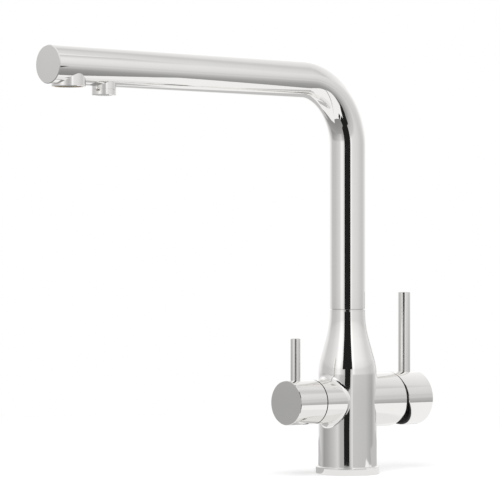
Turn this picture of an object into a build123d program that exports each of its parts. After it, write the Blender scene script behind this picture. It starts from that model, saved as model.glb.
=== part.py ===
"""Three-way kitchen tap: hot and cold mixer on one side, filtered water on the other.

Millimetres, +Z up. The origin is the centre of the foot, in the plane of the worktop.
The spout points along -X at rest, over the filtered-water handle. The mixer handle is
on +X. The person who uses the tap stands on the -Y side.
"""
import os
from math import cos, pi, radians, sin, sqrt, tan

from build123d import *

# ---------------------------------------------------------------- driving dimensions
# Spout tube
TUBE_R = 14.0            # outside radius of the 28 mm tube
TUBE_WALL = 1.2
ARM_Z = 308.1            # height of the arm's centre line
REACH = 300.3            # tap axis to the end face of the arm
BEND_R = 50.0            # centre-line radius of the bend
SEAM_Z = 129.5           # joint between the body's neck and the turning spout
SEAM_GAP = 0.22
SEAM_CHAMFER = 0.35
END_CHAMFER = 0.5

# Body
BODY_R = 23.0
SHOULDER_TOP_Z = 128.0   # where the neck starts to widen
SHOULDER_ANGLE = 15.2    # slope of the cone between the two arcs, in degrees
NECK_ARC_R = 80.0        # concave arc under the neck
HIP_ARC_R = 45.0         # convex arc above the straight body
RING_R = 25.0            # base ring
RING_H = 6.2
FOOT_R = 20.0            # spigot of the body inside the base ring
HANDLE_Z = 57.8          # axis of both handles
BRANCH_FILLET = 4.0      # cast fillet where the filter branch leaves the body

# Filter side, measured outwards from the tap axis along -X
FILTER_R = 17.2
FILTER_BRANCH_END = 37.6
FILTER_HUB_START = 38.4
FILTER_HUB_END = 66.3
FILTER_PIN_X = 56.5
FILTER_PIN_R = 3.9
FILTER_PIN_TOP = 107.5
FILTER_GRUB_X = 49.5
FILTER_GRUB_TURN = -14.0  # its set screw sits this far from the underside, towards the user

# Mixer side, measured outwards along +X
MIXER_R = 21.4
MIXER_BRANCH_END = 45.0
MIXER_HUB_START = 47.7   # the hub's rim, at the height of its axis
MIXER_HUB_END = 75.0
MIXER_PIN_X = 63.7
MIXER_PIN_R = 4.95
MIXER_PIN_TOP = 142.7
MIXER_GRUB_X = 63.2
TILT_PIVOT_X = 45.0      # cross pin that the mixer lever tilts on
RIM_LEAN = 0.085         # the upper rim leans towards the body, rise over run
TILT_RELIEF_DROP = 1.4   # the hub's rim is relieved from this far below its axis
TILT_RELIEF_SLOPE = 0.575  # rise over run of the relieved part of the rim

# Outlets, measured back from the end face of the arm
MIXED_OUTLET_BACK = 19.0
MIXED_OUTLET_R = 12.5
MIXED_OUTLET_DROP = 1.3  # below the underside of the tube
FILTER_OUTLET_BACK = 52.0
FILTER_OUTLET_R = 9.0
FILTER_SOCKET_DROP = 1.8
NOZZLE_DROP = 6.3

# Inlets in the foot, one at each corner of a square round the tap axis
PORT_OFFSET = 7.8
INLET_THREAD_R = 4.46    # M10x1 internal thread, at its crests
INLET_DEPTH = 10.0
STUD_THREAD_R = 3.32     # M8 internal thread, at its crests
STUD_DEPTH = 14.0
WATERWAY_R = 3.5

# Swivel between the neck and the spout
SPIGOT_R = 10.45
NECK_BORE_R = 10.55
SPIGOT_BORE_R = 7.0
RISER_R = 3.5            # fixed filtered-water tube in the middle of the neck
RISER_BORE_R = 2.5
RUNNING = 0.05           # radial clearance of turning fits
SEATED = 0.02            # radial clearance of fixed fits

TUBE_BORE_R = TUBE_R - TUBE_WALL
NECK_R = TUBE_R
SPOUT_FOOT_Z = SEAM_Z + SEAM_GAP
TUBE_BOTTOM_Z = ARM_Z - TUBE_R
MIXED_X = -(REACH - MIXED_OUTLET_BACK)
FILTER_X = -(REACH - FILTER_OUTLET_BACK)


# ---------------------------------------------------------------- small helpers
def along_z(radius, z_low, z_high, x=0.0, y=0.0):
    """Upright cylinder."""
    low = (Align.CENTER, Align.CENTER, Align.MIN)
    return Pos(x, y, z_low) * Cylinder(radius, z_high - z_low, align=low)


def along_x(radius, x_one, x_two, y=0.0, z=HANDLE_Z):
    """Cylinder parallel to X."""
    low = (Align.CENTER, Align.CENTER, Align.MIN)
    start = min(x_one, x_two)
    return Pos(start, y, z) * Rot(0, 90, 0) * Cylinder(radius, abs(x_two - x_one), align=low)


def along_y(radius, y_low, y_high, x=0.0, z=HANDLE_Z):
    """Cylinder parallel to Y."""
    low = (Align.CENTER, Align.CENTER, Align.MIN)
    return Pos(x, y_low, z) * Rot(-90, 0, 0) * Cylinder(radius, y_high - y_low, align=low)


def block(x_range, y_range, z_range):
    """Box between three pairs of limits."""
    size = [high - low for low, high in (x_range, y_range, z_range)]
    middle = [(high + low) / 2 for low, high in (x_range, y_range, z_range)]
    return Pos(*middle) * Box(*size)


def ring_z(outer, inner, z_low, z_high, x=0.0, y=0.0):
    """Upright tube."""
    return along_z(outer, z_low, z_high, x, y) - along_z(inner, z_low - 1, z_high + 1, x, y)


def ring_x(outer, inner, x_one, x_two):
    """Tube round the handle axis."""
    low, high = min(x_one, x_two), max(x_one, x_two)
    return along_x(outer, low, high) - along_x(inner, low - 1, high + 1)


def about_handles(shape, turn):
    """The shape, turned about the axis of both handles."""
    return Pos(0, 0, HANDLE_Z) * Rot(turn, 0, 0) * Pos(0, 0, -HANDLE_Z) * shape


def o_ring_z(middle_r, section_r, z):
    return Pos(0, 0, z) * Torus(middle_r, section_r)


def o_ring_x(middle_r, section_r, x, y=0.0, z=HANDLE_Z):
    return Pos(x, y, z) * Rot(0, 90, 0) * Torus(middle_r, section_r)


def hex_x(across_flats, x_one, x_two):
    """Hexagonal bar round the handle axis."""
    outline = RegularPolygon(across_flats / 2, 6, major_radius=False)
    bar = extrude(outline, abs(x_two - x_one))
    return Pos(min(x_one, x_two), 0, HANDLE_Z) * Rot(0, 90, 0) * bar


def hex_socket(across_flats, depth):
    """Hexagonal key recess that starts at the origin and goes down -Z."""
    return Pos(0, 0, -depth) * extrude(RegularPolygon(across_flats / 2, 6, major_radius=False), depth)


def spline_x(crest_r, root_r, teeth, x_one, x_two):
    """Straight-toothed bar round the handle axis."""
    corners = []
    for tooth in range(teeth):
        middle = 2 * pi * tooth / teeth
        corners.append((crest_r * cos(middle), crest_r * sin(middle)))
        corners.append((root_r * cos(middle + pi / teeth), root_r * sin(middle + pi / teeth)))
    bar = extrude(make_face(Polyline(*corners, close=True)), abs(x_two - x_one))
    return Pos(min(x_one, x_two), 0, HANDLE_Z) * Rot(0, 90, 0) * bar


def lever_pin(x, radius, hub_r, seat_depth, top_z, stub_r, stub_length):
    """Straight round lever with a threaded stub, standing on its hub."""
    seat_z = HANDLE_Z + hub_r - seat_depth
    shaft = along_z(radius, seat_z, top_z, x)
    shaft = chamfer(shaft.edges().group_by(Axis.Z)[-1], 0.3)
    return shaft + along_z(stub_r, seat_z - stub_length, seat_z, x)


def grub_screw(radius, length, x, point_z, key):
    """Socket set screw on the underside of a hub, its point up."""
    screw = along_z(radius, point_z - length, point_z, x)
    screw = chamfer(screw.edges().group_by(Axis.Z)[-1], 0.5)
    return screw - Pos(x, 0, point_z - length) * Rot(180, 0, 0) * hex_socket(key, 2.2)


# ---------------------------------------------------------------- fixed body
def shoulder_profile():
    """Half section of the outside of the body, from the foot to the neck."""
    slope = radians(SHOULDER_ANGLE)
    neck_centre = (NECK_R + NECK_ARC_R, SHOULDER_TOP_Z)

    def on_neck_arc(turn):
        return (neck_centre[0] - NECK_ARC_R * cos(turn), neck_centre[1] - NECK_ARC_R * sin(turn))

    cone_top = on_neck_arc(slope)
    cone_bottom_r = BODY_R - HIP_ARC_R * (1 - cos(slope))
    cone_bottom_z = cone_top[1] - (cone_bottom_r - cone_top[0]) / tan(slope)
    hip_z = cone_bottom_z - HIP_ARC_R * sin(slope)

    def on_hip_arc(turn):
        return (BODY_R - HIP_ARC_R * (1 - cos(turn)), hip_z + HIP_ARC_R * sin(turn))

    def upright(point):
        return (point[0], 0, point[1])

    foot = Polyline(
        upright((0, SEAM_Z)), upright((0, 0)), upright((FOOT_R, 0)), upright((FOOT_R, RING_H)),
        upright((BODY_R, RING_H)), upright((BODY_R, hip_z)),
    )
    hip = ThreePointArc(*[upright(on_hip_arc(slope * part)) for part in (0, 0.5, 1)])
    cone = Line(upright(on_hip_arc(slope)), upright(cone_top))
    neck = ThreePointArc(*[upright(on_neck_arc(slope * part)) for part in (1, 0.5, 0)])
    top = Polyline(
        upright((NECK_R, SHOULDER_TOP_Z)), upright((NECK_R, SEAM_Z - SEAM_CHAMFER)),
        upright((NECK_R - SEAM_CHAMFER, SEAM_Z)), upright((0, SEAM_Z)),
    )
    return make_face([foot, hip, cone, neck, top])


CARTRIDGE_SEAT_X = 14.0
CARTRIDGE_BORE_R = 17.6
NUT_THREAD_R = 18.5
NUT_THREAD_START = 36.9
CARTRIDGE_PORT_R = 8.8     # radius of the circle that the three ports lie on
CARTRIDGE_INLET_DROP = 4.0
CHAMBER_R = 8.5            # mixed-water chamber round the filtered-water riser
CHAMBER_FLOOR_Z = 61.0
NECK_FLOOR_Z = 98.0
RISER_FOOT_Z = 53.0
RISER_TOP_Z = 112.0
FILTER_SEAT_X = 18.0
FILTER_CHAMBER_R = 10.0
FILTER_THREAD_R = 10.4
FILTER_THREAD_START = 27.0
FILTER_WAY_DROP = 7.5      # outlet waterway of the filter valve, below its axis
FILTER_WAY_R = 2.8
THRUST_RECESS_R = 12.3
THRUST_RECESS_DEPTH = 1.0
RETAINER_Z = 118.8
RETAINER_R = 2.5


def cartridge_ports():
    """(y, z) of the hot, cold and mixed ports in the cartridge's seat."""
    inlet_z = HANDLE_Z - CARTRIDGE_INLET_DROP
    return [(PORT_OFFSET, inlet_z), (-PORT_OFFSET, inlet_z), (0.0, HANDLE_Z + CARTRIDGE_PORT_R)]


def body_casting():
    """Bottle-shaped body with its two side branches, waterways and tapped inlets."""
    outside = revolve(shoulder_profile(), Axis.Z)
    outside += along_x(FILTER_R, -FILTER_BRANCH_END, 0)
    junction = [
        edge for edge in outside.edges()
        if edge.geom_type not in (GeomType.LINE, GeomType.CIRCLE) and edge.center().X < -5
    ]
    outside = fillet(junction, BRANCH_FILLET)
    outside += along_x(MIXER_R, 0, MIXER_BRANCH_END)

    # Neck, mixed-water chamber and the seat of the filtered-water riser
    hollow = along_z(NECK_BORE_R, NECK_FLOOR_Z, SEAM_Z + 1)
    hollow += along_z(THRUST_RECESS_R, SEAM_Z - THRUST_RECESS_DEPTH, SEAM_Z + 1)
    hollow += along_z(CHAMBER_R, CHAMBER_FLOOR_Z, NECK_FLOOR_Z + 1)
    hollow += along_z(RISER_R + SEATED, RISER_FOOT_Z, CHAMBER_FLOOR_Z + 1)
    hollow += along_z(FILTER_WAY_R, HANDLE_Z - FILTER_WAY_DROP - FILTER_WAY_R, RISER_FOOT_Z + 1)
    hollow += along_y(RETAINER_R + SEATED, NECK_BORE_R - 2, NECK_R + 5, 0, RETAINER_Z)

    # Mixer side: seat, thread and the three ways to it
    hollow += along_x(CARTRIDGE_BORE_R, CARTRIDGE_SEAT_X, MIXER_BRANCH_END + 1)
    hollow += along_x(NUT_THREAD_R, NUT_THREAD_START, MIXER_BRANCH_END + 1)
    for y, z in cartridge_ports()[:2]:
        hollow += along_x(WATERWAY_R, PORT_OFFSET, CARTRIDGE_SEAT_X + 1, y, z)
        hollow += along_z(WATERWAY_R, INLET_DEPTH - 1, z + WATERWAY_R, PORT_OFFSET, y)
    mixed_y, mixed_z = cartridge_ports()[2]
    hollow += along_x(WATERWAY_R, CHAMBER_R - 3, CARTRIDGE_SEAT_X + 1, mixed_y, mixed_z)

    # Filter side: chamber, thread, inlet and outlet ways
    hollow += along_x(FILTER_CHAMBER_R, -FILTER_SEAT_X, -FILTER_BRANCH_END - 1)
    hollow += along_x(FILTER_THREAD_R, -FILTER_THREAD_START, -FILTER_BRANCH_END - 1)
    hollow += along_x(WATERWAY_R, -FILTER_SEAT_X - 1, -PORT_OFFSET)
    hollow += along_y(WATERWAY_R - 0.5, -PORT_OFFSET, 0, -PORT_OFFSET, HANDLE_Z)
    hollow += along_z(WATERWAY_R, INLET_DEPTH - 1, HANDLE_Z, -PORT_OFFSET, -PORT_OFFSET)
    hollow += along_x(FILTER_WAY_R, -FILTER_SEAT_X - 1, 0, 0, HANDLE_Z - FILTER_WAY_DROP)

    # Foot: hot, cold and filtered inlets, and the fixing stud
    for x, y in ((PORT_OFFSET, PORT_OFFSET), (PORT_OFFSET, -PORT_OFFSET), (-PORT_OFFSET, -PORT_OFFSET)):
        hollow += along_z(INLET_THREAD_R, -1, INLET_DEPTH, x, y)
    hollow += along_z(STUD_THREAD_R, -1, STUD_DEPTH, -PORT_OFFSET, PORT_OFFSET)
    return outside - hollow


GASKET_OUTER_R = 23.6
GASKET_INNER_R = 21.6
GASKET_DEPTH = 1.5


def base_ring():
    """Trim ring that covers the tap hole; its underside is grooved for the gasket."""
    ring = ring_z(RING_R, FOOT_R + SEATED, 0, RING_H)
    rim = ring.edges().group_by(Axis.Z)[-1].sort_by(SortBy.RADIUS)[-1]
    ring = fillet(rim, 0.6)
    return ring - ring_z(GASKET_OUTER_R, GASKET_INNER_R, -1, GASKET_DEPTH)


def base_gasket():
    return ring_z(GASKET_OUTER_R - SEATED, GASKET_INNER_R + SEATED, 0, GASKET_DEPTH)


def filter_riser():
    """Fixed tube that brings filtered water up the middle of the neck."""
    return ring_z(RISER_R, RISER_BORE_R, RISER_FOOT_Z, RISER_TOP_Z)


def spout_thrust_washer():
    """Slippery washer that carries the spout's weight."""
    floor = SEAM_Z - THRUST_RECESS_DEPTH
    return ring_z(THRUST_RECESS_R - SEATED, NECK_BORE_R, floor, SPOUT_FOOT_Z - 0.02)


RETAINER_TIP_R = 1.45
RETAINER_TIP_Y = 9.3


def spout_retaining_screw():
    """Set screw at the back of the neck; its dog point runs in the spout's groove."""
    thread_start = SPIGOT_R + 0.3
    screw = along_y(RETAINER_R, thread_start, 14.2, 0, RETAINER_Z)
    screw += along_y(RETAINER_TIP_R, RETAINER_TIP_Y, thread_start, 0, RETAINER_Z)
    return screw - Pos(0, 14.2, RETAINER_Z) * Rot(-90, 0, 0) * hex_socket(2.5, 2.0)


# ---------------------------------------------------------------- spout
FERRULE_R = TUBE_BORE_R - SEATED
FERRULE_TOP_Z = 142.0
FERRULE_FOOT_Z = 99.0
O_RING_HEIGHTS = (107.0, 112.5)
O_RING_GROOVE_R = 8.9
O_RING_SECTION_R = 0.75
BEARING_HEIGHTS = (100.2, 124.4)
BEARING_WIDTH = 3.0
BEARING_GROOVE_R = 9.6
RETAINER_GROOVE_R = 9.0
END_CAP_THICKNESS = 1.8
HOSE_R = 4.0
HOSE_BORE_R = 2.65
HOSE_FOOT_Z = 114.5
HOSE_ELBOW_R = 9.0
HOSE_END_Z = TUBE_BOTTOM_Z + 2.5
BARB_R = 2.6
BARB_BORE_R = 1.8


def spout_tube():
    """L-shaped 28 mm tube with one round bend, open below for the two outlets."""
    start = Plane((0, 0, SPOUT_FOOT_Z))
    end_x = -(REACH - END_CAP_THICKNESS)
    path = FilletPolyline((0, 0, SPOUT_FOOT_Z), (0, 0, ARM_Z), (end_x, 0, ARM_Z), radius=BEND_R)
    tube = sweep(start * (Circle(TUBE_R) - Circle(TUBE_BORE_R)), path=path)
    foot_edge = tube.edges().group_by(Axis.Z)[0].sort_by(SortBy.RADIUS)[-1]
    tube = chamfer(foot_edge, SEAM_CHAMFER)
    tube -= along_z(MIXED_OUTLET_R, TUBE_BOTTOM_Z - 5, ARM_Z, MIXED_X)
    tube -= along_z(FILTER_OUTLET_R, TUBE_BOTTOM_Z - 5, ARM_Z, FILTER_X)
    return tube


def spout_end_cap():
    """Flat disc that closes the arm, with a short hollow spigot inside the tube."""
    inner_face = -(REACH - END_CAP_THICKNESS)
    cap = along_x(TUBE_R, -REACH, inner_face, 0, ARM_Z)
    cap = chamfer(cap.edges().group_by(Axis.X)[0], END_CHAMFER)
    spigot_end = inner_face + 3.6
    spigot = along_x(FERRULE_R, inner_face, spigot_end, 0, ARM_Z)
    spigot -= along_x(FERRULE_R - 1.5, inner_face, spigot_end + 1, 0, ARM_Z)
    return cap + spigot


def spout_ferrule():
    """Machined end of the spout: a collar in the tube and a spigot in the neck."""
    ferrule = along_z(FERRULE_R, SPOUT_FOOT_Z, FERRULE_TOP_Z)
    ferrule += along_z(SPIGOT_R, FERRULE_FOOT_Z, SPOUT_FOOT_Z)
    ferrule -= along_z(SPIGOT_BORE_R, FERRULE_FOOT_Z - 1, FERRULE_TOP_Z + 1)
    groove_half = O_RING_SECTION_R + 0.3
    for z in O_RING_HEIGHTS:
        ferrule -= ring_z(SPIGOT_R + 1, O_RING_GROOVE_R, z - groove_half, z + groove_half)
    for z in BEARING_HEIGHTS:
        ferrule -= ring_z(SPIGOT_R + 1, BEARING_GROOVE_R, z, z + BEARING_WIDTH)
    half = RETAINER_TIP_R + 0.3
    return ferrule - ring_z(SPIGOT_R + 1, RETAINER_GROOVE_R, RETAINER_Z - half, RETAINER_Z + half)


def spout_o_rings():
    middle_r = O_RING_GROOVE_R + O_RING_SECTION_R + 0.02
    return [o_ring_z(middle_r, O_RING_SECTION_R, z) for z in O_RING_HEIGHTS]


def spout_bearing_rings():
    """Two slippery rings that keep the spigot centred in the neck."""
    outer, inner = NECK_BORE_R - RUNNING, BEARING_GROOVE_R + SEATED
    return [ring_z(outer, inner, z + 0.05, z + BEARING_WIDTH - 0.05) for z in BEARING_HEIGHTS]


COUPLING_R = 5.5
COUPLING_FOOT_Z = 100.0
COUPLING_O_RING_Z = 107.0


def filter_coupling():
    """Turning socket over the filtered-water riser, centred in the ferrule by three fins."""
    coupling = along_z(COUPLING_R, COUPLING_FOOT_Z, RISER_TOP_Z + 2)
    coupling += along_z(BARB_R, RISER_TOP_Z + 2, RISER_TOP_Z + 10)
    fin = block((COUPLING_R - 1, SPIGOT_BORE_R - 0.1), (-0.75, 0.75), (COUPLING_FOOT_Z, RISER_TOP_Z + 2))
    for turn in (0, 120, 240):
        coupling += Rot(0, 0, turn) * fin
    coupling -= along_z(RISER_R + RUNNING, COUPLING_FOOT_Z - 1, RISER_TOP_Z + 0.3)
    coupling -= along_z(BARB_BORE_R, RISER_TOP_Z, RISER_TOP_Z + 11)
    return coupling - along_z(4.5, COUPLING_O_RING_Z - 0.6, COUPLING_O_RING_Z + 0.6)


def filter_coupling_o_ring():
    return o_ring_z(4.02, 0.46, COUPLING_O_RING_Z)


def filter_hose():
    """Inner hose that carries filtered water up the spout, along the arm and down."""
    path = FilletPolyline(
        (0, 0, HOSE_FOOT_Z), (0, 0, ARM_Z), (FILTER_X, 0, ARM_Z), (FILTER_X, 0, HOSE_END_Z),
        radius=[BEND_R, HOSE_ELBOW_R],
    )
    section = Plane((0, 0, HOSE_FOOT_Z)) * (Circle(HOSE_R) - Circle(HOSE_BORE_R))
    return sweep(section, path=path)


SOCKET_THREAD_R = 10.75
AERATOR_WASHER = 1.5
MIXED_RIM_Z = TUBE_BOTTOM_Z - MIXED_OUTLET_DROP
AERATOR_TOP_Z = MIXED_RIM_Z + 6.6
AERATOR_BORE_R = 9.3


def mixed_outlet_socket():
    """Brazed threaded socket for the concealed aerator."""
    shoulder_z = AERATOR_TOP_Z + AERATOR_WASHER
    socket = along_z(MIXED_OUTLET_R, MIXED_RIM_Z, ARM_Z - 3, MIXED_X)
    rim = socket.edges().group_by(Axis.Z)[0]
    socket = chamfer(rim, 0.3)
    socket -= along_z(SOCKET_THREAD_R, MIXED_RIM_Z - 1, shoulder_z, MIXED_X)
    return socket - along_z(8.5, MIXED_RIM_Z, ARM_Z, MIXED_X)


def aerator_housing():
    """Threaded shell of the aerator, with four key notches in its rim."""
    shell = along_z(SOCKET_THREAD_R - RUNNING, MIXED_RIM_Z + 0.3, AERATOR_TOP_Z, MIXED_X)
    shell -= along_z(AERATOR_BORE_R, MIXED_RIM_Z - 1, AERATOR_TOP_Z - 1.5, MIXED_X)
    shell -= along_z(AERATOR_BORE_R - 1.5, MIXED_RIM_Z, AERATOR_TOP_Z + 1, MIXED_X)
    notch = block((9.0, 12.0), (-0.8, 0.8), (MIXED_RIM_Z - 1, MIXED_RIM_Z + 1.5))
    for turn in range(4):
        shell -= Pos(MIXED_X, 0, 0) * Rot(0, 0, 45 + 90 * turn) * notch
    return shell


HONEYCOMB_PITCH = 2.5
HONEYCOMB_HOLE_R = 0.95
HONEYCOMB_ROWS = 3


def aerator_insert():
    """Plastic flow former with a honeycomb of round holes."""
    disc = along_z(AERATOR_BORE_R - SEATED, MIXED_RIM_Z + 0.6, AERATOR_TOP_Z - 1.6, MIXED_X)
    holes = []
    for row in range(-HONEYCOMB_ROWS, HONEYCOMB_ROWS + 1):
        for column in range(-HONEYCOMB_ROWS, HONEYCOMB_ROWS + 1):
            x = HONEYCOMB_PITCH * (column + row / 2)
            y = HONEYCOMB_PITCH * row * sqrt(3) / 2
            if abs(column + row) <= HONEYCOMB_ROWS:
                holes.append(along_z(HONEYCOMB_HOLE_R, MIXED_RIM_Z, AERATOR_TOP_Z, MIXED_X + x, y))
    return disc - holes


def aerator_washer():
    top = AERATOR_TOP_Z + AERATOR_WASHER
    return ring_z(SOCKET_THREAD_R - 0.1, 8.6, AERATOR_TOP_Z, top, MIXED_X)


FILTER_RIM_Z = TUBE_BOTTOM_Z - FILTER_SOCKET_DROP
NOZZLE_RIM_Z = TUBE_BOTTOM_Z - NOZZLE_DROP
NOZZLE_THREAD_R = 7.35
NOZZLE_TOP_Z = HOSE_END_Z - 0.1
NOZZLE_CHAMBER_R = 6.0
NOZZLE_NOTCH_TURN = 13.5


def filter_outlet_socket():
    """Brazed threaded socket for the filtered-water nozzle."""
    socket = along_z(FILTER_OUTLET_R, FILTER_RIM_Z, TUBE_BOTTOM_Z + 7, FILTER_X)
    return socket - along_z(NOZZLE_THREAD_R + SEATED, FILTER_RIM_Z - 1, TUBE_BOTTOM_Z + 8, FILTER_X)


def filter_nozzle():
    """Screwed nozzle with a barb for the inner hose and four key notches."""
    shoulder_z = FILTER_RIM_Z - 0.1
    nozzle = along_z(FILTER_OUTLET_R, NOZZLE_RIM_Z, shoulder_z, FILTER_X)
    nozzle = chamfer(nozzle.edges().group_by(Axis.Z)[0], 0.4)
    nozzle = chamfer(nozzle.edges().group_by(Axis.Z)[-1], 0.15)
    nozzle += along_z(NOZZLE_THREAD_R, shoulder_z, NOZZLE_TOP_Z, FILTER_X)
    nozzle += along_z(BARB_R, NOZZLE_TOP_Z, NOZZLE_TOP_Z + 2.4, FILTER_X)
    nozzle -= along_z(BARB_BORE_R, NOZZLE_RIM_Z, NOZZLE_TOP_Z + 3, FILTER_X)
    nozzle -= along_z(NOZZLE_CHAMBER_R, NOZZLE_RIM_Z - 1, shoulder_z + 1, FILTER_X)
    notch = block((-FILTER_OUTLET_R - 1, -NOZZLE_THREAD_R - 0.4), (-0.8, 0.8), (shoulder_z - 1.1, shoulder_z + 1))
    for turn in range(4):
        nozzle -= Pos(FILTER_X, 0, 0) * Rot(0, 0, NOZZLE_NOTCH_TURN + 90 * turn) * notch
    return nozzle


def nozzle_insert():
    """Perforated disc that calms the filtered water."""
    disc = along_z(NOZZLE_CHAMBER_R - SEATED, NOZZLE_RIM_Z + 0.5, NOZZLE_RIM_Z + 3.5, FILTER_X)
    holes = [along_z(1.0, NOZZLE_RIM_Z, NOZZLE_RIM_Z + 4, FILTER_X)]
    for turn in range(6):
        spot = radians(60 * turn)
        x, y = FILTER_X + 3.4 * cos(spot), 3.4 * sin(spot)
        holes.append(along_z(1.0, NOZZLE_RIM_Z, NOZZLE_RIM_Z + 4, x, y))
    return disc - holes


# ---------------------------------------------------------------- filter valve and lever
BARREL_R = 8.0
DISC_BORE_R = 6.6
DISC_R = 6.5
SEAT_SEAL = (18.05, 20.5)
FIXED_DISC = (20.5, 23.5)
MOVING_DISC = (23.5, 26.5)
DRIVE_PLATE = (26.55, 29.0)
SPINDLE_R = 4.0
SPINDLE_GROOVE_R = 3.0
SPINDLE_O_RINGS = (32.5, 36.0)
CLIP = (43.8, 44.6)
CLIP_GROOVE_R = 3.2
VALVE_GASKET = (FILTER_BRANCH_END, FILTER_BRANCH_END + 1.0)
HEX = (38.6, 41.4)
NECK_STEP_R = 9.0        # under the gasket
VALVE_NECK_END = 43.6
BUSH = (46.0, 58.0)
BUSH_SIDE = 11.0
SPLINE_START = 46.0
SPLINE_END = 57.5
SPLINE_TEETH = 20


def disc_windows(x_one, x_two, reach_r):
    """Two opposite quarter openings in a ceramic disc, on the filter side."""
    cut = []
    for side in (-1, 1):
        wedge = block((-x_two, -x_one), (1.0, reach_r), (1.0, reach_r))
        wedge = Pos(0, 0, HANDLE_Z) * wedge
        turned = wedge if side > 0 else about_handles(wedge, 180)
        cut.append(turned)
    return cut


def filter_valve_body():
    """Brass body of the quarter-turn ceramic valve."""
    body = along_x(BARREL_R, -18.5, -FILTER_THREAD_START)
    body += along_x(FILTER_THREAD_R - SEATED, -FILTER_THREAD_START, -FILTER_BRANCH_END)
    body += along_x(NECK_STEP_R, -FILTER_BRANCH_END, -HEX[0])
    body += hex_x(24.0, -HEX[0], -HEX[1])
    body += along_x(7.5, -HEX[1], -VALVE_NECK_END)
    body -= along_x(DISC_BORE_R, -17, -DRIVE_PLATE[1] - 0.1)
    body -= along_x(SPINDLE_R + RUNNING, -20, -VALVE_NECK_END - 1)
    for turn in (0, 90):
        window = block((-MOVING_DISC[1], -MOVING_DISC[0]), (-2.2, 2.2), (-BARREL_R - 1, BARREL_R + 1))
        body -= Pos(0, 0, HANDLE_Z) * Rot(turn, 0, 0) * window
    return body


def filter_valve_gasket():
    """Fibre washer under the hexagon of the filter valve."""
    return ring_x(12.5, NECK_STEP_R + 0.1, -VALVE_GASKET[0], -VALVE_GASKET[1])


def filter_seat_seal():
    return ring_x(DISC_R, 3.8, -SEAT_SEAL[0], -SEAT_SEAL[1])


def filter_fixed_disc():
    disc = along_x(DISC_R, -FIXED_DISC[0], -FIXED_DISC[1])
    return disc - disc_windows(FIXED_DISC[0] - 1, FIXED_DISC[1] + 1, 4.0)


def filter_moving_disc():
    """Turning disc; closed at rest, its openings a quarter turn away from the fixed ones."""
    disc = along_x(DISC_R - RUNNING, -MOVING_DISC[0] - 0.02, -MOVING_DISC[1])
    cuts = disc_windows(MOVING_DISC[0] - 1, MOVING_DISC[1] + 1, 7.5)
    quarter = Pos(0, 0, HANDLE_Z) * Rot(90, 0, 0) * Pos(0, 0, -HANDLE_Z)
    return disc - [quarter * cut for cut in cuts]


def filter_spindle():
    """Spindle from the moving disc to the splined end in the hub."""
    spindle = along_x(DISC_R - RUNNING, -DRIVE_PLATE[0], -DRIVE_PLATE[1])
    spindle += along_x(SPINDLE_R, -DRIVE_PLATE[1], -SPLINE_START)
    spindle += spline_x(3.9, 3.45, SPLINE_TEETH, -SPLINE_START, -SPLINE_END)
    for x in SPINDLE_O_RINGS:
        spindle -= ring_x(SPINDLE_R + 1, SPINDLE_GROOVE_R, -x + 0.9, -x - 0.9)
    return spindle - ring_x(SPINDLE_R + 1, CLIP_GROOVE_R, -CLIP[0], -CLIP[1])


def filter_spindle_o_rings():
    return [o_ring_x(3.52, 0.5, -x) for x in SPINDLE_O_RINGS]


def filter_spindle_clip():
    """Open spring ring that keeps the spindle in."""
    clip = ring_x(5.6, CLIP_GROOVE_R + SEATED, -CLIP[0] - 0.02, -CLIP[1] + 0.02)
    return clip - block((-CLIP[1], -CLIP[0]), (-1.2, 1.2), (HANDLE_Z - 7, HANDLE_Z))


def filter_spline_bush():
    """Square plastic insert between the splined spindle and the hub."""
    half = BUSH_SIDE / 2
    bush = block((-BUSH[1], -BUSH[0]), (-half, half), (HANDLE_Z - half, HANDLE_Z + half))
    return about_handles(bush, FILTER_GRUB_TURN) - spline_x(3.92, 3.47, SPLINE_TEETH, -BUSH[0] + 1, -BUSH[1] - 1)


FILTER_PIN_SEAT = 2.5
FILTER_STUB_R = 2.0
FILTER_STUB = 6.0
GRUB_R = 2.5
GRUB_LENGTH = 8.0


def filter_hub():
    """Round cap that turns on the filter branch and carries the short lever."""
    hub = along_x(FILTER_R, -FILTER_HUB_START, -FILTER_HUB_END)
    hub = chamfer(hub.edges().group_by(Axis.X)[0], 0.3)
    hub = chamfer(hub.edges().group_by(Axis.X)[-1], 0.2)
    hub -= along_x(15.0, -FILTER_HUB_START + 1, -42.6)
    hub -= along_x(8.6, -42, -45.4)
    half = BUSH_SIDE / 2 + SEATED
    socket = block((-BUSH[1] - 0.1, -44), (-half, half), (HANDLE_Z - half, HANDLE_Z + half))
    hub -= about_handles(socket, FILTER_GRUB_TURN)
    seat_z = HANDLE_Z + FILTER_R - FILTER_PIN_SEAT
    hub -= along_z(FILTER_PIN_R + SEATED, seat_z, seat_z + 10, -FILTER_PIN_X)
    hub -= along_z(FILTER_STUB_R + SEATED, seat_z - FILTER_STUB - 0.5, seat_z + 1, -FILTER_PIN_X)
    screw_hole = along_z(GRUB_R + SEATED, HANDLE_Z - FILTER_R - 1, HANDLE_Z - 5, -FILTER_GRUB_X)
    return hub - about_handles(screw_hole, FILTER_GRUB_TURN)


def filter_lever_pin():
    return lever_pin(
        -FILTER_PIN_X, FILTER_PIN_R, FILTER_R, FILTER_PIN_SEAT, FILTER_PIN_TOP, FILTER_STUB_R, FILTER_STUB
    )


def filter_grub_screw():
    screw = grub_screw(GRUB_R, GRUB_LENGTH, -FILTER_GRUB_X, HANDLE_Z - BUSH_SIDE / 2, 2.5)
    return about_handles(screw, FILTER_GRUB_TURN)


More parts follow.
